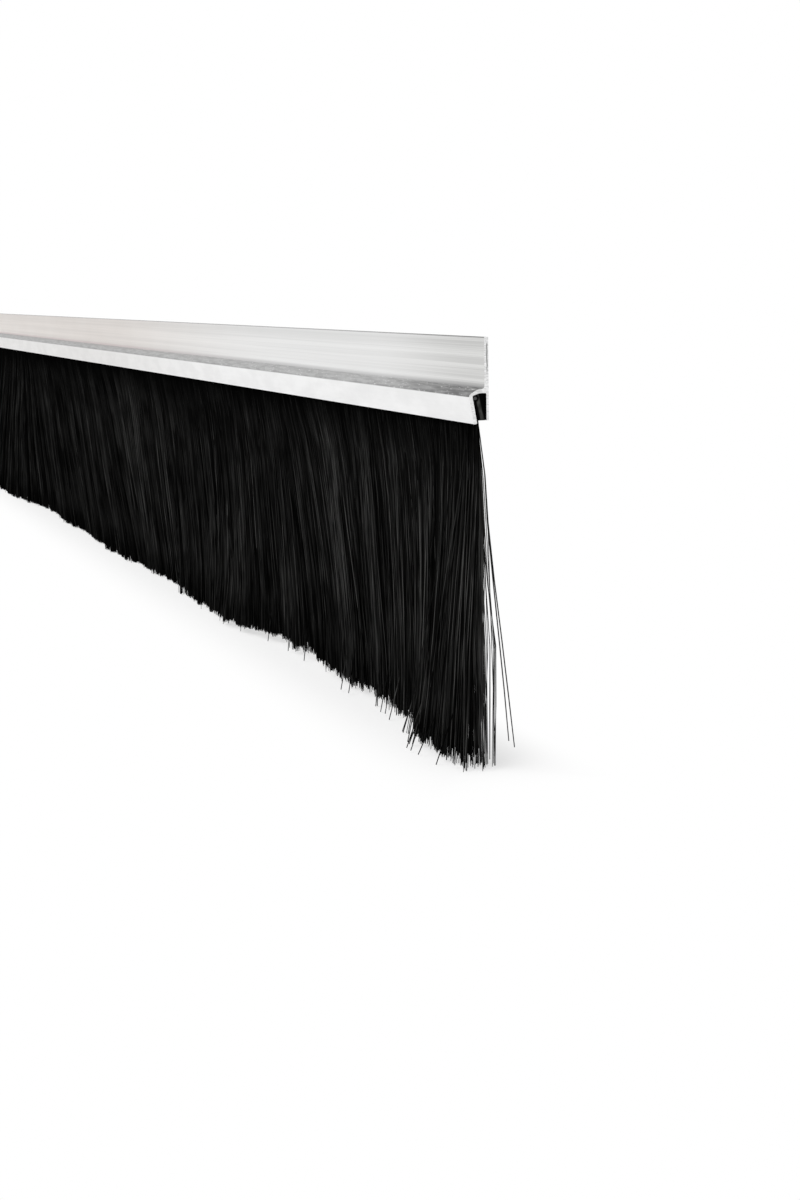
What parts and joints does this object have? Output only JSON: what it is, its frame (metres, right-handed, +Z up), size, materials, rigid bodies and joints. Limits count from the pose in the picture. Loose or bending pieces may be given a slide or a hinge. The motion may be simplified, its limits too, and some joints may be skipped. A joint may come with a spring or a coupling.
{
  "type": "door bottom brush",
  "caption": "Strip brush for a door's bottom edge: deep black filament skirt clamped in an aluminium h-shaped carrier with a flat fixing flange.",
  "frame": {"origin": "middle of the footprint of the filament tips, at the level of the tips", "axes": "+X along the strip towards the end that the picture shows, +Y towards the door that the flange is fixed to, +Z up"},
  "size_m": [0.914, 0.014, 0.1284],
  "materials": {
    "aluminium": "mill finish with fine draw lines along the strip",
    "wire": "plain drawn steel wire",
    "backing": "matt black extruded plastic",
    "filament": "black crimp-free nylon filament, satin"
  },
  "bodies": {
    "root": {"carrier_profile": "aluminium", "core_wire": "wire", "backing_strip": "backing", "bristles": "filament"}
  },
  "joints": []
}
